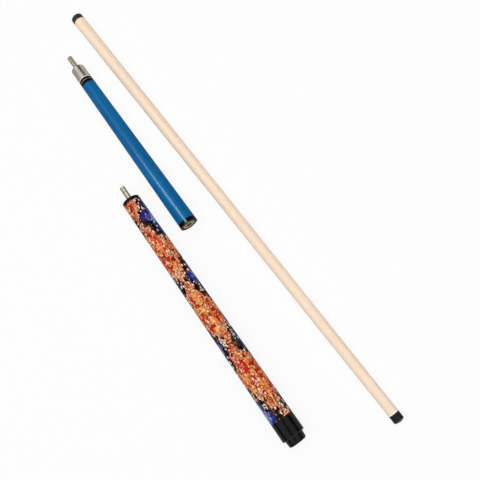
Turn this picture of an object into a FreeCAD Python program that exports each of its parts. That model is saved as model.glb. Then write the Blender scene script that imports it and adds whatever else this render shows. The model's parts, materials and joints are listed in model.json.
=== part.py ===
# A three-piece pool cue, unscrewed and laid out side by side on the floor: shaft, forearm and butt.
#
# Each section is modelled along its own axis: x is 0 at the joint face at its pin or collar end, and grows
# towards the tip or the bumper. The section's placement then lays it down, so that its tapered underside
# touches the floor (z = 0) along its whole length. The joint ends point to -X.

import FreeCAD, Part
import Sketcher
import os
import re

Vector = FreeCAD.Vector

SIZES = {
    # Lengths of the sections, without the pins. Together they are 58 inches.
    "shaft_length": 760.0,
    "forearm_length": 313.0,
    "butt_length": 400.2,
    # Outer diameters at the ends of each section's taper
    "shaft_front_dia": 18.6,
    "shaft_tip_dia": 14.6,
    "forearm_front_dia": 20.6,
    "middle_joint_dia": 26.6,
    "cap_dia": 32.4,
    # How the sections lie: the shaft is turned a little, the other two lie along X
    "shaft_turn": 1.765,
    "gap_shaft_forearm": 23.6,
    "gap_forearm_butt": 18.5,
    "forearm_setback": 75.9,
    "butt_setback": 307.0,
    # Joint pins and the inserts that take them
    "pin_dia": 7.94,
    "pin_chamfer": 0.8,
    "pin_shank_dia": 9.5,
    "pin_seat_depth": 32.0,
    "forearm_pin_reach": 26.2,
    "butt_pin_reach": 25.2,
    "pin_clearance": 0.3,
    "pin_end_room": 2.7,
    "insert_chamfer": 0.5,
    "shaft_insert_dia": 12.0,
    "forearm_insert_dia": 13.0,
    # Shaft
    "shaft_collar_length": 9.0,
    "shaft_tenon_dia": 15.2,
    "ferrule_length": 9.0,
    "ferrule_end_wall": 1.0,
    "ferrule_tenon_dia": 9.0,
    "tip_pad_thickness": 0.8,
    "tip_height": 2.8,
    "tip_dome_radius": 14.0,
    # Forearm
    "barrel_length": 26.0,
    "barrel_round": 1.0,
    "barrel_rear_round": 0.9,
    "barrel_ring_length": 3.3,
    "silver_ring_length": 1.1,
    "forearm_ring_length": 5.4,
    "forearm_tenon_dia": 14.0,
    "rear_collar_length": 5.9,
    "middle_tenon_dia": 17.8,
    # Butt
    "butt_collar_length": 5.3,
    "wrap_thickness": 0.9,
    "cap_length": 26.0,
    "cap_rim_length": 2.6,
    "cap_rim_round": 1.2,
    "cap_groove_width": 0.7,
    "cap_groove_depth": 0.35,
    "cap_tenon_dia": 21.0,
    "cap_end_wall": 8.0,
    # Weight bolt in the core
    "bolt_bore_dia": 12.7,
    "bolt_clearance": 0.05,
    "bolt_length": 46.0,
    "bolt_stem_room": 12.0,
    "bolt_end_gap": 0.3,
    "bolt_hex_flats": 6.35,
    "bolt_hex_depth": 8.0,
    # Bumper
    "bumper_height": 9.9,
    "bumper_seat_dia": 26.2,
    "bumper_end_dia": 24.8,
    "bumper_round": 2.4,
    "bumper_gap": 0.2,
    "bumper_stem_length": 18.0,
    "bumper_stem_clearance": 0.05,
}

doc = FreeCAD.newDocument("pool_cue")
sheet = doc.addObject("Spreadsheet::Sheet", "Sizes")
for row, (alias, value) in enumerate(SIZES.items(), start=1):
    sheet.set(f"A{row}", alias)
    sheet.set(f"B{row}", str(value))
    sheet.setAlias(f"B{row}", alias)
doc.recompute()


def bound(text):
    """Turn an expression in plain size names into one that reads them from the sheet."""
    return re.sub("[a-z_]+", lambda word: f"Sizes.{word[0]}" if word[0] in SIZES else word[0], text)


# Two lengths closer than this, in mm, count as equal when an edge is looked up.
NEAR = 1e-4

# --- The three sections: taper and place on the floor ---

# front diameter, rear diameter and length of the straight taper that the outside follows
CAP_END = "(butt_length - bumper_height)"
TAPERS = {
    "shaft": ("shaft_front_dia", "shaft_tip_dia", "shaft_length"),
    "forearm": ("forearm_front_dia", "middle_joint_dia", "forearm_length"),
    "butt": ("middle_joint_dia", "cap_dia", CAP_END),
}


def taper_radius(section, x):
    """Outer radius of a section at x from its front face."""
    front, rear, length = TAPERS[section]
    return f"({front} + ({rear} - {front}) * ({x}) / {length}) / 2"


def taper_angle(section):
    """Half the cone's angle: how far the axis rises towards the rear when the section lies on the floor."""
    front, rear, length = TAPERS[section]
    return f"atan(({rear} - {front}) / 2 / {length})"


# The layout is centred on the origin: along X by the shaft, the longest piece, and across by all three lanes.
FOREARM_FROM_BUTT = "(cap_dia / 2 + gap_forearm_butt + middle_joint_dia / 2)"
SHAFT_FROM_BUTT = f"({FOREARM_FROM_BUTT} + middle_joint_dia / 2 + gap_shaft_forearm + shaft_front_dia / 2)"
SHAFT_DRIFT = "(shaft_length * sin(shaft_turn))"
BUTT_Y = f"(-({SHAFT_FROM_BUTT} + {SHAFT_DRIFT} + shaft_tip_dia / 2 - cap_dia / 2) / 2)"
SHAFT_X = "(-(shaft_length * cos(shaft_turn) - shaft_front_dia / 2 * sin(shaft_turn)) / 2)"
PLACES = {
    "shaft": (SHAFT_X, f"{BUTT_Y} + {SHAFT_FROM_BUTT}", "shaft_turn"),
    "forearm": (f"{SHAFT_X} + forearm_setback", f"{BUTT_Y} + {FOREARM_FROM_BUTT}", "0"),
    "butt": (f"{SHAFT_X} + butt_setback", BUTT_Y, "0"),
}


def evaluate(text):
    """The present value of an expression in plain size names."""
    return float(sheet.evalExpression(bound(text)))


def lay_down(piece, section):
    """Place a piece with its section, so that the taper's underside is flat on the floor."""
    x, y, turn = PLACES[section]
    front = TAPERS[section][0]
    angle = taper_angle(section)
    z = f"{front} / 2 * cos({angle})"
    place = f"placement(vector({x}; {y}; {z}); rotation({turn}; -{angle}; 0))"
    piece.setExpression("Placement", bound(place))


# --- Ways to make a piece ---

def origin_plane(body, role):
    return next(feature for feature in body.Origin.OriginFeatures if feature.Role == role)


def turned(name, section, outline):
    """A lathe-turned body: a closed outline of (x, radius) expressions, revolved about the section's axis."""
    body = doc.addObject("PartDesign::Body", name)
    body.Label = name
    sketch = body.newObject("Sketcher::SketchObject", f"{name}_outline")
    sketch.AttachmentSupport = (origin_plane(body, "XY_Plane"), [""])
    sketch.MapMode = "FlatFace"
    corners = [Vector(evaluate(x), evaluate(radius), 0) for x, radius in outline]
    count = len(corners)
    for i in range(count):
        sketch.addGeometry(Part.LineSegment(corners[i], corners[(i + 1) % count]), False)
    for i in range(count):
        sketch.addConstraint(Sketcher.Constraint("Coincident", i, 2, (i + 1) % count, 1))
    for i, (x, radius) in enumerate(outline):
        for kind, side, value in (("DistanceX", "x", x), ("DistanceY", "r", radius)):
            place = corners[i].x if side == "x" else corners[i].y
            index = sketch.addConstraint(Sketcher.Constraint(kind, -1, 1, i, 1, place))
            sketch.renameConstraint(index, f"{side}{i}")
            sketch.setExpression(f"Constraints.{side}{i}", bound(value))
    solid = body.newObject("PartDesign::Revolution", f"{name}_turned")
    solid.Profile = sketch
    solid.ReferenceAxis = (sketch, ["H_Axis"])
    solid.Angle = 360.0
    body.Tip = solid
    lay_down(body, section)
    doc.recompute()
    return body


def ring(name, section, start, end, inner_radius):
    """A collar or trim ring: bored to a radius, and turned outside to the section's taper."""
    outline = [
        (start, inner_radius),
        (start, taper_radius(section, start)),
        (end, taper_radius(section, end)),
        (end, inner_radius),
    ]
    return turned(name, section, outline)


def joint_pin(name, section, reach):
    """A joint pin: its free end reaches out of the front face, and its thicker shank sits in the wood."""
    outline = [
        (f"-{reach}", "0"),
        (f"-{reach}", "pin_dia / 2 - pin_chamfer"),
        (f"-{reach} + pin_chamfer", "pin_dia / 2"),
        ("0", "pin_dia / 2"),
        ("0", "pin_shank_dia / 2"),
        ("pin_seat_depth", "pin_shank_dia / 2"),
        ("pin_seat_depth", "0"),
    ]
    return turned(name, section, outline)


def insert(name, section, mouth, inward, length, outer_dia):
    """A threaded bush for a joint pin, from its mouth at x inward, with a chamfered lead."""
    bore = "pin_dia / 2 + pin_clearance"
    end = f"{mouth} {inward} ({length})"
    outline = [
        (mouth, f"{bore} + insert_chamfer"),
        (mouth, f"{outer_dia} / 2"),
        (end, f"{outer_dia} / 2"),
        (end, bore),
        (f"{mouth} {inward} insert_chamfer", bore),
    ]
    return turned(name, section, outline)


def edges_at(feature, x, radius):
    """Names of the circular edges of a turned feature at x with that radius."""
    names = []
    for number, edge in enumerate(feature.Shape.Edges, start=1):
        curve = edge.Curve
        if not isinstance(curve, Part.Circle):
            continue
        if abs(curve.Center.x - x) < NEAR and abs(curve.Radius - radius) < NEAR:
            names.append(f"Edge{number}")
    return names


def rounded(body, x, edge_radius, fillet_radius):
    """Round the circular edge of a turned body at x."""
    before = body.Tip
    fillet = body.newObject("PartDesign::Fillet", f"{body.Name}_round")
    fillet.Base = (before, edges_at(before, evaluate(x), evaluate(edge_radius)))
    fillet.setExpression("Radius", bound(fillet_radius))
    body.Tip = fillet
    doc.recompute()


# --- Shaft ---

SHAFT_INSERT_LENGTH = "forearm_pin_reach + pin_end_room"
FERRULE_END = "(shaft_length - tip_height - tip_pad_thickness)"
FERRULE_START = f"({FERRULE_END} - ferrule_length)"
FERRULE_BORE_END = f"({FERRULE_END} - ferrule_end_wall)"


def make_shaft():
    ring("shaft_joint_collar", "shaft", "0", "shaft_collar_length", "shaft_tenon_dia / 2")
    outline = [
        (SHAFT_INSERT_LENGTH, "0"),
        (SHAFT_INSERT_LENGTH, "shaft_insert_dia / 2"),
        ("0", "shaft_insert_dia / 2"),
        ("0", "shaft_tenon_dia / 2"),
        ("shaft_collar_length", "shaft_tenon_dia / 2"),
        ("shaft_collar_length", taper_radius("shaft", "shaft_collar_length")),
        (FERRULE_START, taper_radius("shaft", FERRULE_START)),
        (FERRULE_START, "ferrule_tenon_dia / 2"),
        (FERRULE_BORE_END, "ferrule_tenon_dia / 2"),
        (FERRULE_BORE_END, "0"),
    ]
    turned("shaft_wood", "shaft", outline)
    insert("shaft_insert", "shaft", "0", "+", SHAFT_INSERT_LENGTH, "shaft_insert_dia")
    outline = [
        (FERRULE_START, "ferrule_tenon_dia / 2"),
        (FERRULE_START, taper_radius("shaft", FERRULE_START)),
        (FERRULE_END, taper_radius("shaft", FERRULE_END)),
        (FERRULE_END, "0"),
        (FERRULE_BORE_END, "0"),
        (FERRULE_BORE_END, "ferrule_tenon_dia / 2"),
    ]
    turned("ferrule", "shaft", outline)
    pad_end = "(shaft_length - tip_height)"
    outline = [
        (FERRULE_END, "0"),
        (FERRULE_END, taper_radius("shaft", FERRULE_END)),
        (pad_end, taper_radius("shaft", pad_end)),
        (pad_end, "0"),
    ]
    turned("tip_pad", "shaft", outline)
    make_tip(pad_end)


def make_tip(seat):
    """The leather tip: a disc whose end is a shallow dome, cut from a sphere."""
    disc = doc.addObject("Part::Cylinder", "tip_disc")
    disc.Placement = FreeCAD.Placement(Vector(evaluate(seat), 0, 0), FreeCAD.Rotation(Vector(0, 1, 0), 90))
    disc.setExpression("Placement.Base.x", bound(seat))
    disc.setExpression("Radius", bound("shaft_tip_dia / 2"))
    disc.setExpression("Height", bound("tip_height"))
    dome = doc.addObject("Part::Sphere", "tip_dome")
    dome.setExpression("Radius", bound("tip_dome_radius"))
    dome.setExpression("Placement.Base.x", bound("shaft_length - tip_dome_radius"))
    tip = doc.addObject("Part::Common", "tip")
    tip.Base = disc
    tip.Tool = dome
    tip.Label = "tip"
    lay_down(tip, "shaft")


# --- Forearm ---

RINGS_START = "barrel_length"
SILVER_START = f"({RINGS_START} + barrel_ring_length)"
FOREARM_RING_START = f"({SILVER_START} + silver_ring_length)"
FOREARM_WOOD_START = f"({FOREARM_RING_START} + forearm_ring_length)"
REAR_COLLAR_START = "(forearm_length - rear_collar_length)"
FOREARM_INSERT_LENGTH = "butt_pin_reach + pin_end_room"
FOREARM_INSERT_END = f"(forearm_length - ({FOREARM_INSERT_LENGTH}))"


def make_forearm():
    barrel = ring("joint_barrel", "forearm", "0", RINGS_START, "forearm_tenon_dia / 2")
    rounded(barrel, "0", "forearm_front_dia / 2", "barrel_round")
    rounded(barrel, RINGS_START, taper_radius("forearm", RINGS_START), "barrel_rear_round")
    ring("barrel_ring", "forearm", RINGS_START, SILVER_START, "forearm_tenon_dia / 2")
    ring("silver_ring", "forearm", SILVER_START, FOREARM_RING_START, "forearm_tenon_dia / 2")
    ring("forearm_ring", "forearm", FOREARM_RING_START, FOREARM_WOOD_START, "forearm_tenon_dia / 2")
    outline = [
        ("pin_seat_depth", "0"),
        ("pin_seat_depth", "pin_shank_dia / 2"),
        ("0", "pin_shank_dia / 2"),
        ("0", "forearm_tenon_dia / 2"),
        (FOREARM_WOOD_START, "forearm_tenon_dia / 2"),
        (FOREARM_WOOD_START, taper_radius("forearm", FOREARM_WOOD_START)),
        (REAR_COLLAR_START, taper_radius("forearm", REAR_COLLAR_START)),
        (REAR_COLLAR_START, "middle_tenon_dia / 2"),
        ("forearm_length", "middle_tenon_dia / 2"),
        ("forearm_length", "forearm_insert_dia / 2"),
        (FOREARM_INSERT_END, "forearm_insert_dia / 2"),
        (FOREARM_INSERT_END, "0"),
    ]
    turned("forearm_wood", "forearm", outline)
    joint_pin("forearm_pin", "forearm", "forearm_pin_reach")
    ring("forearm_rear_collar", "forearm", REAR_COLLAR_START, "forearm_length", "middle_tenon_dia / 2")
    insert("forearm_insert", "forearm", "forearm_length", "-", FOREARM_INSERT_LENGTH, "forearm_insert_dia")


# --- Butt ---

CAP_START = f"({CAP_END} - cap_length)"
CORE_END = f"({CAP_END} - cap_end_wall)"
STEM_END = f"({CAP_END} - bumper_stem_length)"
BOLT_REAR = f"({STEM_END} - bolt_stem_room)"
BOLT_FRONT = f"({BOLT_REAR} - bolt_length)"
BOLT_BORE_END = f"({BOLT_FRONT} - bolt_end_gap)"


def make_butt():
    outline = [
        ("pin_seat_depth", "0"),
        ("pin_seat_depth", "pin_shank_dia / 2"),
        ("0", "pin_shank_dia / 2"),
        ("0", "middle_tenon_dia / 2"),
        ("butt_collar_length", "middle_tenon_dia / 2"),
        ("butt_collar_length", taper_radius("butt", "butt_collar_length") + " - wrap_thickness"),
        (CAP_START, taper_radius("butt", CAP_START) + " - wrap_thickness"),
        (CAP_START, "cap_tenon_dia / 2"),
        (CORE_END, "cap_tenon_dia / 2"),
        (CORE_END, "bolt_bore_dia / 2"),
        (BOLT_BORE_END, "bolt_bore_dia / 2"),
        (BOLT_BORE_END, "0"),
    ]
    turned("handle_core", "butt", outline)
    outline = [
        ("butt_collar_length", taper_radius("butt", "butt_collar_length") + " - wrap_thickness"),
        ("butt_collar_length", taper_radius("butt", "butt_collar_length")),
        (CAP_START, taper_radius("butt", CAP_START)),
        (CAP_START, taper_radius("butt", CAP_START) + " - wrap_thickness"),
    ]
    turned("handle_wrap", "butt", outline)
    ring("butt_joint_collar", "butt", "0", "butt_collar_length", "middle_tenon_dia / 2")
    joint_pin("butt_pin", "butt", "butt_pin_reach")
    make_cap()
    make_weight_bolt()
    make_bumper()


def make_cap():
    """The butt cap: a cup over the core's tenon, with a rounded rim set off by a shallow groove."""
    rim_start = f"({CAP_END} - cap_rim_length)"
    groove_start = f"({rim_start} - cap_groove_width)"
    outline = [
        (CAP_START, "cap_tenon_dia / 2"),
        (CAP_START, taper_radius("butt", CAP_START)),
        (groove_start, taper_radius("butt", groove_start)),
        (groove_start, taper_radius("butt", groove_start) + " - cap_groove_depth"),
        (rim_start, taper_radius("butt", rim_start) + " - cap_groove_depth"),
        (rim_start, taper_radius("butt", rim_start)),
        (CAP_END, "cap_dia / 2"),
        (CAP_END, "bolt_bore_dia / 2"),
        (CORE_END, "bolt_bore_dia / 2"),
        (CORE_END, "cap_tenon_dia / 2"),
    ]
    cap = turned("butt_cap", "butt", outline)
    rounded(cap, CAP_END, "cap_dia / 2", "cap_rim_round")


def make_weight_bolt():
    """The balance bolt: a headless steel slug with a hexagon socket, screwed into the core from the rear."""
    facing_rear = FreeCAD.Rotation(Vector(0, 1, 0), 90)
    slug = doc.addObject("Part::Cylinder", "bolt_slug")
    slug.Placement = FreeCAD.Placement(Vector(0, 0, 0), facing_rear)
    slug.setExpression("Placement.Base.x", bound(BOLT_FRONT))
    slug.setExpression("Radius", bound("bolt_bore_dia / 2 - bolt_clearance"))
    slug.setExpression("Height", bound("bolt_length"))
    socket = doc.addObject("Part::Prism", "bolt_socket")
    socket.Polygon = 6
    socket.Placement = FreeCAD.Placement(Vector(0, 0, 0), facing_rear)
    socket.setExpression("Placement.Base.x", bound(f"{BOLT_REAR} - bolt_hex_depth"))
    socket.setExpression("Circumradius", bound("bolt_hex_flats / 2 / cos(30)"))
    socket.setExpression("Height", bound("bolt_hex_depth + bolt_stem_room"))
    bolt = doc.addObject("Part::Cut", "weight_bolt")
    bolt.Base = slug
    bolt.Tool = socket
    bolt.Label = "weight_bolt"
    lay_down(bolt, "butt")


def make_bumper():
    """The rubber bumper: a round foot on a stem that pushes into the cap and the core's bore."""
    seat = f"({CAP_END} + bumper_gap)"
    stem_radius = "bolt_bore_dia / 2 - bumper_stem_clearance"
    outline = [
        (STEM_END, "0"),
        (STEM_END, stem_radius),
        (seat, stem_radius),
        (seat, "bumper_seat_dia / 2"),
        ("butt_length", "bumper_end_dia / 2"),
        ("butt_length", "0"),
    ]
    bumper = turned("bumper", "butt", outline)
    rounded(bumper, "butt_length", "bumper_end_dia / 2", "bumper_round")


make_shaft()
make_forearm()
make_butt()
doc.recompute()

# --- Check and write ---

NODES = [
    "shaft_joint_collar",
    "shaft_wood",
    "shaft_insert",
    "ferrule",
    "tip_pad",
    "tip",
    "joint_barrel",
    "barrel_ring",
    "silver_ring",
    "forearm_ring",
    "forearm_wood",
    "forearm_pin",
    "forearm_rear_collar",
    "forearm_insert",
    "handle_core",
    "handle_wrap",
    "butt_joint_collar",
    "butt_pin",
    "butt_cap",
    "weight_bolt",
    "bumper",
]

for item in doc.Objects:
    if {"Invalid", "Error"} & set(item.State):
        raise RuntimeError(f"{item.Label} did not build: {item.State}")

pieces = [doc.getObjectsByLabel(node)[0] for node in NODES]
for piece in pieces:
    if piece.Shape.isNull() or not piece.Shape.isValid() or len(piece.Shape.Solids) != 1:
        raise RuntimeError(f"{piece.Label} is not one valid solid")

os.makedirs("parts", exist_ok=True)
for piece in pieces:
    piece.Shape.exportStep(f"parts/{piece.Label}.step")
    print(f"{piece.Label}: {piece.Shape.Volume:.1f} mm3")
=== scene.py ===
import json
import math
from collections import namedtuple

import bmesh
import bpy
from mathutils import Euler, Matrix, Vector


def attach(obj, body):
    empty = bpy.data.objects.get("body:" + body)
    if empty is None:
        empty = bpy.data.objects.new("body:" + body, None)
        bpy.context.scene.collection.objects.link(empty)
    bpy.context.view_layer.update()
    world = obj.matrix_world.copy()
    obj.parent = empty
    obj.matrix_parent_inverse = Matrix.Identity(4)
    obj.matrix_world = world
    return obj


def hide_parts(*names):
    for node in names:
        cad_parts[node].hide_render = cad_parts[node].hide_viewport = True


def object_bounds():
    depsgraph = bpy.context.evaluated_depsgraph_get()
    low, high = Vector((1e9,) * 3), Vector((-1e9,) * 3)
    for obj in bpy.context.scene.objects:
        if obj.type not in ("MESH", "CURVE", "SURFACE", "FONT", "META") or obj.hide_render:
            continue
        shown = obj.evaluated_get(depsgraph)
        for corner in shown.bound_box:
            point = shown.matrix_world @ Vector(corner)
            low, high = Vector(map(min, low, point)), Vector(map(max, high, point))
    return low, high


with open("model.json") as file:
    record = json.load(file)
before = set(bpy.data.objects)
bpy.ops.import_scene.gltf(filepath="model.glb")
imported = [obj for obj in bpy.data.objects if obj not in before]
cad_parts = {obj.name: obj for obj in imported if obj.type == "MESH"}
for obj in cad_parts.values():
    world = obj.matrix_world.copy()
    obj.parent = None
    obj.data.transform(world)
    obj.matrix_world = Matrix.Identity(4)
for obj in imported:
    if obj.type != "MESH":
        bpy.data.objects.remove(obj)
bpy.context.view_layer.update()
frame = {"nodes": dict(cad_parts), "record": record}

# A pool cue in three sections: finishes for the CAD's nodes, threaded pins and inserts, and a studio

MM = 0.001
TURN = 2 * math.pi
bpy.context.scene.view_settings.view_transform = "Standard"

# --- The three sections' own frames: x runs back along the axis from the front face, and z is up ---

MOUNTS = {mount["name"]: mount for mount in frame["record"]["mounts"]}
INSERT_LEAD = 0.5 * MM  # the depth of an insert's chamfered mouth, where its thread begins

Span = namedtuple("Span", "start end inner outer")


def section_frame(mount_name, into_face):
    """A section's place, from a mount on its axis. The mount lies into_face behind the front face."""
    mount = MOUNTS[mount_name]
    outward = Vector(mount["axis"])
    along = -outward
    face = Vector(mount["pos_m"]) + outward * into_face
    turn = Euler((0, -math.asin(along.z), math.atan2(along.y, along.x)))
    return Matrix.LocRotScale(face, turn, None)


def half_length(mount_name):
    return MOUNTS[mount_name]["dims"]["length_mm"] * MM / 2


PLACES = {
    "shaft": section_frame("shaft_insert_thread", half_length("shaft_insert_thread") + INSERT_LEAD),
    "forearm": section_frame("forearm_joint_pin", -half_length("forearm_joint_pin")),
    "butt": section_frame("butt_joint_pin", -half_length("butt_joint_pin")),
}


def span(node, section):
    """First and last x, and smallest and largest radius, of a CAD node in its section's frame."""
    inverse = PLACES[section].inverted()
    points = [inverse @ vertex.co for vertex in frame["nodes"][node].data.vertices]
    along = [point.x for point in points]
    radii = [math.hypot(point.y, point.z) for point in points]
    return Span(min(along), max(along), min(radii), max(radii))


# --- Camera ---

SENSOR_WIDTH = 36.0
LENS = 42.47
CAMERA_PLACE = (0.269845, 0.050857, 0.763876)
TILT, LEAN, HEADING = -0.01713, 0.258686, 0.932888  # radians, about x, y and z

camera_data = bpy.data.cameras.new("camera")
camera_data.sensor_width = SENSOR_WIDTH
camera_data.lens = LENS
camera = bpy.data.objects.new("camera", camera_data)
camera_turn = (
    Matrix.Rotation(TILT, 4, "X") @ Matrix.Rotation(LEAN, 4, "Y") @ Matrix.Rotation(HEADING, 4, "Z")
)
camera.matrix_world = Matrix.Translation(CAMERA_PLACE) @ camera_turn
bpy.context.scene.collection.objects.link(camera)
bpy.context.scene.camera = camera


# --- Node trees ---

# A Mix node's sockets for colours: its factor, A and B, and its result
MIX_SOCKETS = (0, 6, 7)
MIX_RESULT = 2
TRIM_REACH = 2.0  # mm, a little over the width of the widest trim that is drawn on a section


class Graph:
    """The node tree of a material or a world, with a short call for each kind of node used here."""

    def __init__(self, owner):
        owner.use_nodes = True
        self.owner = owner
        self.tree = owner.node_tree
        self.tree.nodes.clear()

    def node(self, kind, inputs=(), **settings):
        made = self.tree.nodes.new(kind)
        for key, value in settings.items():
            setattr(made, key, value)
        for key, value in dict(inputs).items():
            self.feed(made.inputs[key], value)
        return made

    def feed(self, socket, value):
        if isinstance(value, bpy.types.NodeSocket):
            self.tree.links.new(value, socket)
        else:
            socket.default_value = value

    def math(self, operation, *values):
        return self.node("ShaderNodeMath", enumerate(values), operation=operation).outputs[0]

    def local(self, section):
        """Coordinates in millimetres in a section's own frame. They stay with a moved body."""
        place = PLACES[section]
        inputs = {
            "Vector": self.node("ShaderNodeTexCoord").outputs["Object"],
            "Location": place.translation,
            "Rotation": place.to_euler(),
            "Scale": (MM, MM, MM),
        }
        return self.node("ShaderNodeMapping", inputs, vector_type="TEXTURE").outputs[0]

    def scaled(self, vector, scale):
        return self.node("ShaderNodeMapping", {"Vector": vector, "Scale": scale}).outputs[0]

    def split(self, vector):
        return self.node("ShaderNodeSeparateXYZ", {"Vector": vector}).outputs

    def near(self, local, place, full, none):
        """1 up to full mm from a place along the section, falling to 0 at none mm, within TRIM_REACH."""
        distance = self.math("ABSOLUTE", self.math("SUBTRACT", self.split(local)[0], place))
        share = self.math("DIVIDE", distance, TRIM_REACH)
        return self.ramp(share, [(full / TRIM_REACH, 1.0), (none / TRIM_REACH, 0.0)])

    def noise(self, vector, scale=1.0, detail=2.0, roughness=0.5, distortion=0.0):
        inputs = {
            "Vector": vector,
            "Scale": scale,
            "Detail": detail,
            "Roughness": roughness,
            "Distortion": distortion,
        }
        return self.node("ShaderNodeTexNoise", inputs).outputs["Fac"]

    def ramp(self, value, stops, interpolation="LINEAR"):
        """A colour ramp. Each stop is a place and a colour, which may be one number for a grey."""
        made = self.node("ShaderNodeValToRGB", {"Fac": value})
        ramp = made.color_ramp
        ramp.interpolation = interpolation
        while len(ramp.elements) < len(stops):
            ramp.elements.new(0.5)
        for element, (place, colour) in zip(ramp.elements, stops):
            element.position = place
            element.color = (colour,) * 3 + (1,) if isinstance(colour, (int, float)) else (*colour, 1)
        return made.outputs["Color"]

    def mix(self, factor, first, second, blend="MIX"):
        made = self.node("ShaderNodeMix", data_type="RGBA", blend_type=blend)
        for socket, value in zip(MIX_SOCKETS, (factor, first, second)):
            self.feed(made.inputs[socket], (*value, 1) if isinstance(value, tuple) else value)
        return made.outputs[MIX_RESULT]

    def bump(self, height, depth, strength=1.0):
        """A bump of a height map from 0 to 1, depth metres deep."""
        inputs = {"Height": height, "Distance": depth, "Strength": strength}
        return self.node("ShaderNodeBump", inputs).outputs[0]

    def finish(self, **inputs):
        """Close a material with one Principled shader. An underscore in a key stands for a space."""
        inputs = {key.replace("_", " "): value for key, value in inputs.items()}
        shader = self.node("ShaderNodeBsdfPrincipled", inputs)
        self.node("ShaderNodeOutputMaterial", {"Surface": shader.outputs[0]})
        return self.owner


def material_graph(name):
    return Graph(bpy.data.materials.new(name))


def rgb(red, green, blue):
    """A colour given as it looks on a screen, 0 to 255, turned to the linear values that a shader takes."""
    def linear(value):
        value /= 255
        return value / 12.92 if value <= 0.04045 else ((value + 0.055) / 1.055) ** 2.4
    return linear(red), linear(green), linear(blue)


# --- Finishes ---

def maple(name, section, painted_halo_ends=()):
    """Pale maple under a satin lacquer: long faint grain, small flecks, and hardly any gloss.

    The halo ends are places along the section, in mm, where a bright near-white line is painted where the
    wood meets a dark trim: a painted highlight, not the wood's colour.
    """
    g = material_graph(name)
    local = g.local(section)
    bands = g.noise(g.scaled(local, (0.006, 0.30, 0.30)), detail=3.0)
    lines = g.noise(g.scaled(local, (0.012, 2.2, 2.2)), detail=4.0, roughness=0.65)
    fleck = g.noise(g.scaled(local, (0.22, 3.0, 3.0)), detail=1.0)
    colour = g.ramp(bands, [(0.3, rgb(253, 228, 200)), (0.7, rgb(255, 234, 210))])
    streak = g.ramp(lines, [(0.30, 0.0), (0.58, 1.0)])
    colour = g.mix(streak, rgb(249, 220, 190), colour)
    dark_fleck = g.ramp(fleck, [(0.28, 0.2), (0.36, 0.0)])
    colour = g.mix(dark_fleck, colour, rgb(226, 186, 148))
    # Painted highlight: a near-white halo line on the wood next to the dark trim
    for end in painted_halo_ends:
        colour = g.mix(g.near(local, end, 1.5, 1.9), colour, rgb(255, 252, 240))
    normal = g.bump(lines, 0.00003)
    rough = g.math("MULTIPLY_ADD", lines, 0.12, 0.34)
    return g.finish(Base_Color=colour, Roughness=rough, Normal=normal, Coat_Weight=0.15, Coat_Roughness=0.2)


RAW_WOOD_RADIUS = 9.4  # mm, the stain lies outside it


def blue_wood():
    """Blue-stained wood under a clear coat. The stain stays near the outside of the wood."""
    g = material_graph("blue_stained_wood")
    local = g.local("forearm")
    figure = g.noise(g.scaled(local, (0.008, 0.16, 0.16)), detail=2.0, distortion=0.4)
    lines = g.noise(g.scaled(local, (0.016, 1.5, 1.5)), detail=5.0, roughness=0.7)
    pores = g.noise(g.scaled(local, (0.10, 3.4, 3.4)), detail=1.0)
    colour = g.ramp(lines, [(0.30, rgb(2, 72, 126)), (0.48, rgb(4, 100, 158)), (0.66, rgb(10, 120, 174))])
    colour = g.mix(g.ramp(figure, [(0.36, 0.5), (0.62, 0.0)]), colour, rgb(2, 84, 142))
    colour = g.mix(g.ramp(pores, [(0.30, 0.5), (0.37, 0.0)]), colour, rgb(2, 54, 104))
    x, y, z = g.split(local)
    radius = g.math("SQRT", g.math("ADD", g.math("MULTIPLY", y, y), g.math("MULTIPLY", z, z)))
    rays = g.noise(g.scaled(local, (0.2, 2.5, 2.5)), detail=4.0)
    end_grain = g.ramp(rays, [(0.35, rgb(158, 130, 100)), (0.65, rgb(204, 176, 142))])
    colour = g.mix(g.math("LESS_THAN", radius, RAW_WOOD_RADIUS), colour, end_grain)
    rough = g.math("MULTIPLY_ADD", lines, 0.2, 0.34)
    normal = g.bump(lines, 0.00003, 0.5)
    return g.finish(Base_Color=colour, Roughness=rough, Normal=normal, Specular_IOR_Level=0.02,
                    Coat_Weight=0.18, Coat_Roughness=0.24)


HAZE_GAIN = 1.7  # how much paler the black is where it is hazy


def black_gloss(name, section, tone, roughness, specular, painted_lip_highlights=()):
    """Polished black phenolic: fine turning marks, and a haze that mottles its colour and its gloss.

    The lip highlights are places along the section, in mm, where a pale grey line is painted along the edge
    and broken up by the haze: a painted highlight, not wear.
    """
    g = material_graph(name)
    local = g.local(section)
    turning = g.noise(g.scaled(local, (9.0, 0.05, 0.05)), detail=2.0)
    haze = g.noise(local, 0.12, detail=4.0, roughness=0.6)
    lighter = tuple(channel * HAZE_GAIN for channel in tone)
    colour = g.mix(g.ramp(haze, [(0.35, 0.0), (0.7, 1.0)]), tone, lighter)
    # Painted highlight: a pale line along each given edge, patchy with the haze
    for edge in painted_lip_highlights:
        lip_highlight = g.math("MULTIPLY", g.near(local, edge, 0.35, 1.0), haze)
        colour = g.mix(lip_highlight, colour, rgb(92, 92, 94))
    rough = g.math("MULTIPLY_ADD", haze, 0.14, roughness)
    normal = g.bump(turning, 0.000006)
    return g.finish(Base_Color=colour, Roughness=rough, Normal=normal, Specular_IOR_Level=specular)


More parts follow.
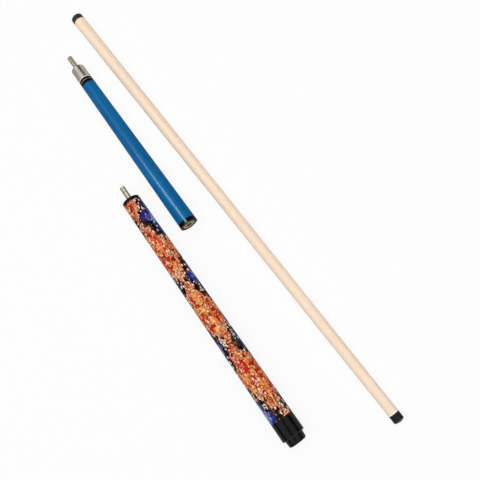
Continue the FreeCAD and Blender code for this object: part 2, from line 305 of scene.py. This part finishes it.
def metal(name, section, dark, light, roughness, anisotropy=0.5, painted_bright_rims=()):
    """Turned metal: fine rings from the lathe, soft tarnish and light handling marks.

    The bright rims are places along the section, in mm, where the metal ends in a thin near-black line, with
    a pale non-metal band inside it that is a painted highlight.
    """
    g = material_graph(name)
    local = g.local(section)
    rings = g.noise(g.scaled(local, (7.0, 0.12, 0.12)), detail=3.0, roughness=0.7)
    stain = g.noise(local, 0.35, detail=4.0, roughness=0.6)
    marks = g.noise(g.scaled(local, (0.4, 6.0, 6.0)), detail=2.0)
    colour = g.mix(g.ramp(stain, [(0.3, 0.0), (0.72, 1.0)]), light, dark)
    rough = g.math("MULTIPLY_ADD", rings, 0.10, roughness)
    rough = g.math("MULTIPLY_ADD", g.ramp(marks, [(0.6, 0.0), (0.7, 1.0)]), 0.06, rough)
    metallic = 1.0
    # Painted highlight: a pale non-metal band at each given rim, with a thin near-black line at the very edge
    for rim in painted_bright_rims:
        rim_highlight = g.near(local, rim, 1.8, 1.96)
        colour = g.mix(rim_highlight, colour, rgb(240, 235, 222))
        colour = g.mix(g.near(local, rim, 0.56, 0.68), colour, rgb(16, 15, 14))
        metallic = g.math("MULTIPLY_ADD", rim_highlight, -0.95, 1.0)
    normal = g.bump(rings, 0.000008)
    return g.finish(Base_Color=colour, Metallic=metallic, Roughness=rough, Normal=normal,
                    Anisotropic=anisotropy)


def pad_fibre():
    """Dark red vulcanised fibre in thin pressed layers."""
    g = material_graph("red_fibre")
    local = g.local("shaft")
    layers = g.noise(g.scaled(local, (5.0, 0.3, 0.3)), detail=3.0)
    colour = g.ramp(layers, [(0.35, rgb(44, 14, 14)), (0.65, rgb(82, 24, 22))])
    return g.finish(Base_Color=colour, Roughness=0.7, Normal=g.bump(layers, 0.00002))


def leather_tip():
    """The chalked leather tip: pressed layers on its side, a fine nap and patches of chalk."""
    g = material_graph("tip_leather")
    local = g.local("shaft")
    layers = g.noise(g.scaled(local, (4.0, 0.2, 0.2)), detail=2.0)
    nap = g.noise(local, 2.6, detail=5.0, roughness=0.7)
    chalk = g.noise(local, 0.45, detail=4.0, roughness=0.65)
    colour = g.ramp(layers, [(0.35, rgb(16, 86, 78)), (0.65, rgb(32, 112, 102))])
    colour = g.mix(g.ramp(chalk, [(0.42, 0.0), (0.62, 0.9)]), colour, rgb(72, 148, 138))
    height = g.math("MULTIPLY_ADD", nap, 0.6, g.math("MULTIPLY", layers, 0.4))
    return g.finish(Base_Color=colour, Roughness=0.88, Normal=g.bump(height, 0.00012), Specular_IOR_Level=0.2)


def rubber():
    """Moulded rubber: a fine matte skin, faint mould flow and pale scuffs."""
    g = material_graph("bumper_rubber")
    local = g.local("butt")
    skin = g.noise(local, 3.4, detail=3.0)
    scuff = g.noise(g.scaled(local, (0.9, 0.25, 0.25)), detail=5.0, roughness=0.7)
    colour = g.ramp(scuff, [(0.42, rgb(10, 10, 11)), (0.78, rgb(26, 26, 28))])
    rough = g.math("MULTIPLY_ADD", scuff, 0.14, 0.14)
    return g.finish(Base_Color=colour, Roughness=rough, Normal=g.bump(skin, 0.00002), Specular_IOR_Level=0.32)


CELL_LENGTH = 4.9  # mm along the butt
CELL_WIDTH = 3.0  # mm
CELL_WARP = 4.0  # mm, how far the noise pushes the cells out of line
DIAMOND_LENGTH = 104.0  # mm along the butt
DIAMONDS_AROUND = 2
DIAMOND_START, DIAMOND_TURN = 0.15, 0.34  # the lattice's place along and round the butt
DIAMOND_TWIST = -0.10  # how the lattice leans round the butt
PATCH_NOISE, CELL_NOISE = 0.8, 0.22  # how far noise moves a patch's edge, and a single cell
DARK_ZONE, COOL_ZONE = 0.515, 0.715  # where dark and cool cells begin, from a diamond's middle


def diamond_zone(g, seed, chance):
    """Where a cell lies in the lattice: 0 in the middle of a diamond, and towards 1 in the gaps."""
    x, y, z = g.split(seed)
    around = g.math("DIVIDE", g.math("ARCTAN2", y, z), TURN)
    s = g.math("MULTIPLY_ADD", x, 2.0 / DIAMOND_LENGTH, DIAMOND_START)
    t = g.math("MULTIPLY_ADD", around, 2.0 * DIAMONDS_AROUND, DIAMOND_TURN)
    t = g.math("ADD", t, g.math("MULTIPLY", s, DIAMOND_TWIST))
    zone = g.math("ADD", g.math("PINGPONG", s, 1.0), g.math("PINGPONG", t, 1.0))
    large = g.noise(g.scaled(seed, (0.05, 0.08, 0.08)), detail=2.0, roughness=0.6)
    for wander, share in ((large, PATCH_NOISE), (chance, CELL_NOISE)):
        zone = g.math("ADD", zone, g.math("MULTIPLY", g.math("SUBTRACT", wander, 0.5), share))
    return g.math("DIVIDE", zone, 2.0)


def reptile_print():
    """A generic reptile-skin print under a thin gloss coat, made of irregular long cells.

    Each cell takes its colours, for its middle and its rim, from a lattice of large diamonds: warm
    inside a diamond, dark with cream spots along the lattice, and blue to mint in the gaps.
    """
    g = material_graph("reptile_print")
    local = g.local("butt")
    warp = g.node("ShaderNodeTexNoise", {"Vector": local, "Scale": 0.26, "Detail": 2.0}).outputs["Color"]
    push = {0: warp, 1: (CELL_WARP,) * 3, 2: local}
    pushed = g.node("ShaderNodeVectorMath", push, operation="MULTIPLY_ADD").outputs[0]
    stretched = g.scaled(pushed, (1 / CELL_LENGTH, 1 / CELL_WIDTH, 1 / CELL_WIDTH))
    cell = {"Vector": stretched, "Scale": 1.0, "Randomness": 0.8}
    cells = g.node("ShaderNodeTexVoronoi", cell, feature="F1").outputs
    rim = g.node("ShaderNodeTexVoronoi", cell, feature="DISTANCE_TO_EDGE").outputs["Distance"]
    chance, chance_2, chance_3 = g.split(cells["Color"])
    seed = g.scaled(cells["Position"], (CELL_LENGTH, CELL_WIDTH, CELL_WIDTH))
    zone = diamond_zone(g, seed, chance)
    red, deep_red = rgb(190, 36, 24), rgb(112, 10, 10)
    gold, amber, orange = rgb(252, 206, 130), rgb(246, 180, 104), rgb(234, 150, 84)
    cream, beige, tan = rgb(255, 238, 204), rgb(230, 188, 156), rgb(150, 110, 86)
    brown, black = rgb(80, 44, 34), rgb(20, 9, 10)
    royal, navy, violet, mint = rgb(36, 46, 158), rgb(22, 26, 116), rgb(96, 102, 194), rgb(178, 226, 216)
    # Warm cells: gold, amber, orange or red, with some cream ones, and beige towards the lattice
    warm_stops = [(0.0, gold), (0.24, amber), (0.42, orange), (0.58, red), (0.90, cream)]
    warm = g.ramp(chance_2, warm_stops, "CONSTANT")
    warm = g.mix(g.ramp(zone, [(0.36, 0.0), (0.48, 0.8)]), warm, beige)
    warm_rim = g.ramp(chance_3, [(0.0, red), (0.45, deep_red), (0.75, orange)], "CONSTANT")
    # Dark cells: black, brown or tan, some with a cream spot
    dark = g.ramp(chance_2, [(0.0, black), (0.30, brown), (0.52, tan), (0.66, cream)], "CONSTANT")
    # Cool cells: royal blue, with some that are paler to the middle of their patch
    cool = g.ramp(zone, [(0.74, royal), (0.80, violet), (0.86, mint)])
    cool = g.mix(g.ramp(chance_3, [(0.0, 0.0), (0.6, 0.7)], "CONSTANT"), cool, royal)
    cool_rim = g.ramp(zone, [(0.78, navy), (0.92, violet)])
    is_dark = g.math("GREATER_THAN", zone, DARK_ZONE)
    is_cool = g.math("GREATER_THAN", zone, COOL_ZONE)
    middle = g.mix(is_cool, g.mix(is_dark, warm, dark), cool)
    edge = g.mix(is_cool, g.mix(is_dark, warm_rim, black), cool_rim)
    colour = g.mix(g.ramp(rim, [(0.07, 0.0), (0.17, 1.0)]), edge, middle)
    ink = g.noise(g.scaled(local, (0.35, 1.3, 1.3)), detail=4.0, roughness=0.7)
    colour = g.mix(g.ramp(ink, [(0.34, 0.75), (0.52, 0.0)]), colour, rgb(196, 84, 56), blend="MULTIPLY")
    normal = g.bump(ink, 0.00001)
    return g.finish(Base_Color=colour, Roughness=0.42, Normal=normal, Specular_IOR_Level=0.05,
                    Coat_Weight=0.25, Coat_Roughness=0.05)


# Places along a section, in mm, where a finish has a painted highlight at an edge or end
CAP_EDGES = (span("butt_cap", "butt").end / MM,)
BARREL_RIMS = (span("joint_barrel", "forearm").end / MM,)
SHAFT_HALO_ENDS = (span("ferrule", "shaft").start / MM,)

FINISHES = {
    "maple": maple("maple_shaft", "shaft", SHAFT_HALO_ENDS),
    "blue_wood": blue_wood(),
    "print": reptile_print(),
    "shaft_black": black_gloss("black_shaft_trim", "shaft", rgb(46, 38, 33), 0.32, 0.3),
    "ferrule_black": black_gloss("black_ferrule", "shaft", rgb(30, 25, 23), 0.3, 0.25),
    "forearm_black": black_gloss("black_forearm_trim", "forearm", rgb(5, 4, 5), 0.12, 0.12),
    "rear_black": black_gloss("black_rear_collar", "forearm", rgb(4, 4, 5), 0.16, 0.14),
    "butt_black": black_gloss("black_butt_trim", "butt", rgb(4, 5, 7), 0.13, 0.32, CAP_EDGES),
    "barrel": metal("turned_steel", "forearm", rgb(206, 200, 188), rgb(232, 227, 216), 0.20,
                    painted_bright_rims=BARREL_RIMS),
    "forearm_pin": metal("pin_steel_forearm", "forearm", rgb(200, 188, 162), rgb(242, 234, 212), 0.18, 0.1),
    "butt_pin": metal("pin_steel_butt", "butt", rgb(206, 188, 156), rgb(250, 242, 224), 0.24, 0.1),
    "silver": metal("silver_ring_metal", "forearm", rgb(150, 142, 126), rgb(206, 200, 186), 0.42, 0.0),
    "brass_forearm": metal("brass_forearm", "forearm", rgb(176, 148, 96), rgb(238, 214, 160), 0.24),
    "brass_shaft": metal("brass_shaft", "shaft", rgb(126, 98, 52), rgb(198, 160, 96), 0.24),
    "steel": metal("bolt_steel", "butt", rgb(120, 120, 122), rgb(170, 170, 172), 0.3),
    "core": maple("maple_core", "butt"),
    "fibre": pad_fibre(),
    "leather": leather_tip(),
    "rubber": rubber(),
}

NODE_FINISH = {
    "shaft_joint_collar": "shaft_black",
    "shaft_wood": "maple",
    "ferrule": "ferrule_black",
    "tip_pad": "fibre",
    "tip": "leather",
    "joint_barrel": "barrel",
    "barrel_ring": "forearm_black",
    "silver_ring": "silver",
    "forearm_ring": "forearm_black",
    "forearm_wood": "blue_wood",
    "forearm_rear_collar": "rear_black",
    "handle_core": "core",
    "handle_wrap": "print",
    "butt_joint_collar": "butt_black",
    "butt_cap": "butt_black",
    "weight_bolt": "steel",
    "bumper": "rubber",
}
for node, finish in NODE_FINISH.items():
    for material_slot in frame["nodes"][node].material_slots:
        material_slot.material = FINISHES[finish]


# --- Threaded pieces ---

COLUMNS = 48  # round a turned mesh
SHARP_ANGLE = math.radians(42)
FRONT_PITCH, MIDDLE_PITCH = 2.54 * MM, 1.06 * MM  # the front joint's thread and the middle joint's

PIN_SHARPNESS = 2.4
PIN_ROWS_PER_PITCH = 12
PIN_RUN_OUT = 0.7  # of a pitch
PIN_THREAD_LEAD = 0.45 * MM  # how far behind the free end the thread's cut begins
CHAMFER_DEPTH, CHAMFER_LENGTH = 0.9 * MM, 0.72 * MM  # of the free end, inwards and along
CENTRE_DEPTH = 0.35 * MM  # the shallow centre hole in a pin's free end
CENTRE_FLOOR_RADIUS = 0.8 * MM
CENTRE_RIM_RADIUS = 1.1 * MM

INSERT_SHARPNESS = 1.4
INSERT_ROWS_PER_PITCH = 10
INSERT_RUN_OUT = 0.6  # of a pitch
INSERT_EDGE = 0.3 * MM


def revolve(name, section, rows, thread, closed):
    """A turned mesh from rows of (x, radius, depth). The thread cuts the radius by up to depth, as a helix.

    A closed outline is a ring with a bore. An open one is a rod, capped at both ends.
    """
    mesh = bmesh.new()
    place = PLACES[section]
    circles = []
    for x, radius, depth in rows:
        circle = []
        for column in range(COLUMNS):
            angle = TURN * column / COLUMNS
            at = radius + depth * thread(x, angle)
            circle.append(mesh.verts.new(place @ Vector((x, at * math.sin(angle), at * math.cos(angle)))))
        circles.append(circle)
    pairs = list(zip(circles, circles[1:]))
    if closed:
        pairs.append((circles[-1], circles[0]))
    for first, second in pairs:
        for column in range(COLUMNS):
            following = (column + 1) % COLUMNS
            mesh.faces.new((first[column], first[following], second[following], second[column]))
    if not closed:
        for circle, x in ((circles[0], rows[0][0]), (circles[-1], rows[-1][0])):
            centre = mesh.verts.new(place @ Vector((x, 0, 0)))
            for column in range(COLUMNS):
                mesh.faces.new((centre, circle[(column + 1) % COLUMNS], circle[column]))
    bmesh.ops.recalc_face_normals(mesh, faces=mesh.faces)
    data = bpy.data.meshes.new(name)
    mesh.to_mesh(data)
    mesh.free()
    data.shade_smooth()
    data.set_sharp_from_angle(angle=SHARP_ANGLE)
    piece = bpy.data.objects.new(name, data)
    bpy.context.scene.collection.objects.link(piece)
    return piece


def helix(pitch, sharpness):
    """A thread's profile, 0 at the crest and 1 at the root. Sharpness over 1 flattens both."""
    def depth(x, angle):
        wave = math.cos(TURN * (x / pitch + angle / TURN))
        return 0.5 - 0.5 * max(-1.0, min(1.0, wave * sharpness))
    return depth


def steps(start, end, count):
    return [start + (end - start) * i / count for i in range(count + 1)]


def fade(x, start, end, run):
    """0 at both ends of a thread and 1 from run inside them."""
    return max(0.0, min(1.0, (x - start) / run, (end - x) / run))


def threaded_pin(section, pitch, thread_depth, neck):
    """A joint pin: chamfered free end, thread, a plain neck at the face, and a shank in the wood."""
    name = f"{section}_pin"
    shank = span(name, section)
    radius = MOUNTS[f"{section}_joint_pin"]["dims"]["r_mm"] * MM
    front = shank.start
    rows = [
        (front + CENTRE_DEPTH, CENTRE_FLOOR_RADIUS, 0.0),
        (front, CENTRE_RIM_RADIUS, 0.0),
        (front, radius - CHAMFER_DEPTH, 0.0),
    ]
    thread_end = -neck
    count = round((thread_end - front) / pitch * PIN_ROWS_PER_PITCH)
    for x in steps(front + CHAMFER_LENGTH, thread_end, count):
        run = fade(x, front + PIN_THREAD_LEAD, thread_end, pitch * PIN_RUN_OUT)
        rows.append((x, radius, -thread_depth * run))
    rows += [(0.0, radius, 0.0), (0.0, shank.outer, 0.0), (shank.end, shank.outer, 0.0)]
    piece = revolve(f"{name}_threaded", section, rows, helix(pitch, PIN_SHARPNESS), closed=False)
    piece.data.materials.append(FINISHES[name])
    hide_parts(name)
    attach(piece, section)
    return piece


def threaded_insert(section, mouth_first, pitch, thread_depth):
    """A brass insert: its bore has a chamfered mouth and a thread cut outward from the bore's wall."""
    name = f"{section}_insert"
    wall = span(name, section)
    bore = MOUNTS[f"{section}_insert_thread"]["dims"]["r_mm"] * MM
    mouth, back = (wall.start, wall.end) if mouth_first else (wall.end, wall.start)
    inward = 1 if mouth_first else -1
    rows = [(mouth, wall.outer - INSERT_EDGE, 0.0), (mouth, bore + INSERT_LEAD, 0.0)]
    first = mouth + inward * INSERT_LEAD
    count = round(abs(back - first) / pitch * INSERT_ROWS_PER_PITCH)
    for x in steps(first, back, count):
        run = fade(abs(x - mouth), INSERT_LEAD, abs(back - mouth), pitch * INSERT_RUN_OUT)
        rows.append((x, bore, thread_depth * run))
    rows += [(back, wall.outer, 0.0), (mouth + inward * INSERT_EDGE, wall.outer, 0.0)]
    piece = revolve(f"{name}_threaded", section, rows, helix(pitch, INSERT_SHARPNESS), closed=True)
    piece.data.materials.append(FINISHES[f"brass_{section}"])
    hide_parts(name)
    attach(piece, section)


threaded_pin("forearm", FRONT_PITCH, 0.34 * MM, neck=1.4 * MM)
butt_pin = threaded_pin("butt", MIDDLE_PITCH, 0.10 * MM, neck=1.6 * MM)
threaded_insert("shaft", True, FRONT_PITCH, 0.5 * MM)
threaded_insert("forearm", False, MIDDLE_PITCH, 0.3 * MM)


# --- Floor, world and lamps ---

FLOOR_RADIUS = 6.0
FLOOR_GAP = 0.02 * MM
FLOOR_WHITE_SHARE = 0.88  # how much of the floor is plain white to the camera, and the rest takes shadow
FLOOR_MIRRORED = 0.42  # how bright the floor is in a polished surface

# The backdrop and most lamps stand square to the camera's heading.
ACROSS = (math.cos(HEADING), math.sin(HEADING))
AWAY = (-math.sin(HEADING), math.cos(HEADING))

low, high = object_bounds()
centre = (Vector(low) + Vector(high)) / 2


def mirrored_ray(g, path):
    """1 for a ray that a polished or clear surface sends on."""
    return g.math("MAXIMUM", path["Is Glossy Ray"], path["Is Transmission Ray"])


def make_floor():
    """A wide disc just under the cue, almost white to the camera, that still takes its shadow."""
    mesh = bmesh.new()
    bmesh.ops.create_circle(mesh, cap_ends=True, segments=96, radius=FLOOR_RADIUS)
    data = bpy.data.meshes.new("floor")
    mesh.to_mesh(data)
    mesh.free()
    floor = bpy.data.objects.new("floor", data)
    floor.location = (centre.x, centre.y, low[2] - FLOOR_GAP)
    bpy.context.scene.collection.objects.link(floor)
    g = material_graph("studio_floor")
    path = g.node("ShaderNodeLightPath").outputs
    mirrored = mirrored_ray(g, path)
    white_share = g.math("MAXIMUM", g.math("MULTIPLY", path["Is Camera Ray"], FLOOR_WHITE_SHARE), mirrored)
    strength = g.math("MAXIMUM", path["Is Camera Ray"], g.math("MULTIPLY", mirrored, FLOOR_MIRRORED))
    diffuse = g.node("ShaderNodeBsdfDiffuse", {"Color": (0.86, 0.86, 0.86, 1)})
    white = g.node("ShaderNodeEmission", {"Color": (1, 1, 1, 1), "Strength": strength})
    mixed = g.node("ShaderNodeMixShader", {0: white_share, 1: diffuse.outputs[0], 2: white.outputs[0]})
    g.node("ShaderNodeOutputMaterial", {"Surface": mixed.outputs[0]})
    data.materials.append(g.owner)


def make_world():
    """White to the camera, dim in the light that it gives, and dark with a pale backdrop when mirrored.

    The backdrop stands low behind the layout and to its left, where it rises.
    """
    world = bpy.data.worlds.new("studio")
    bpy.context.scene.world = world
    g = Graph(world)
    path = g.node("ShaderNodeLightPath").outputs
    direction = g.node("ShaderNodeTexCoord").outputs["Generated"]
    height = g.split(direction)[2]

    def towards(heading):
        inputs = {0: direction, 1: (*heading, 0.0)}
        return g.node("ShaderNodeVectorMath", inputs, operation="DOT_PRODUCT").outputs["Value"]

    away, across = towards(AWAY), towards(ACROSS)
    top = g.math("MULTIPLY_ADD", g.math("MINIMUM", across, 0.0), -0.12, 0.37)
    below_top = g.ramp(g.math("SUBTRACT", g.math("ADD", height, 0.5), top), [(0.48, 1.0), (0.52, 0.0)])
    behind = g.ramp(g.math("ADD", away, 0.5), [(0.35, 0.0), (0.50, 1.0)])
    before_end = g.ramp(across, [(0.55, 1.0), (0.65, 0.0)])
    backdrop = g.math("MULTIPLY", g.math("MULTIPLY", below_top, behind), before_end)
    seen = g.mix(backdrop, (0.05, 0.05, 0.05), (0.48, 0.48, 0.48))
    level = g.mix(mirrored_ray(g, path), (0.25, 0.25, 0.25), seen)
    level = g.mix(path["Is Camera Ray"], level, (1.0, 1.0, 1.0))
    background = g.node("ShaderNodeBackground", {"Color": level, "Strength": 1.0})
    g.node("ShaderNodeOutputWorld", {"Surface": background.outputs[0]})


def panel(name, across, away, height, radiance, mirrored=True, diffuse=True, heading=HEADING,
          colour=(1.0, 1.0, 1.0), receivers=()):
    """A soft lamp that faces down, from its extents in metres along the heading and at right angles to it.

    With receivers, it lights only those objects.
    """
    data = bpy.data.lights.new(name, "AREA")
    data.shape = "RECTANGLE"
    data.size = across[1] - across[0]
    data.size_y = away[1] - away[0]
    data.energy = radiance * math.pi * data.size * data.size_y
    data.color = colour
    light = bpy.data.objects.new(name, data)
    middle = Matrix.Rotation(heading, 2) @ Vector((sum(across) / 2, sum(away) / 2))
    light.location = (middle.x, middle.y, height)
    light.rotation_euler = (0, 0, heading)
    light.visible_camera = False
    light.visible_glossy = mirrored
    light.visible_diffuse = diffuse
    bpy.context.scene.collection.objects.link(light)
    if receivers:
        lit = bpy.data.collections.new(name + "_receivers")
        for receiver in receivers:
            lit.objects.link(receiver)
        light.light_linking.receiver_collection = lit


make_floor()
make_world()
panel("softbox_left", (-2.8, 0.0), (-2.5, 1.7), height=1.6, radiance=0.60)
panel("softbox_right", (0.42, 2.1), (-1.7, 1.7), height=1.6, radiance=0.60)
# Lamps that are only mirrored: two edges, then a thin line on the forearm and one on the butt's pin
panel("barrel_edge", (-0.78, -0.42), (1.34, 1.56), height=1.5, radiance=0.7, diffuse=False)
panel("pin_edge", (-1.7, 0.15), (0.92, 1.14), height=1.52, radiance=0.6, diffuse=False)
panel("strip", (-1.02, -0.25), (0.34, 0.42), height=1.5, radiance=165.0, diffuse=False,
      colour=(0.72, 1.0, 0.98),
      receivers=[frame["nodes"][node] for node in ("forearm_wood", "forearm_rear_collar")])
panel("pin_line", (-2.2, 0.4), (0.48, 0.72), height=1.54, radiance=4.4, diffuse=False, heading=0.0,
      receivers=[butt_pin])
# Even light over the whole layout, not mirrored
panel("fill", (-2.2, 2.2), (-2.2, 2.2), height=1.8, radiance=0.65, mirrored=False)
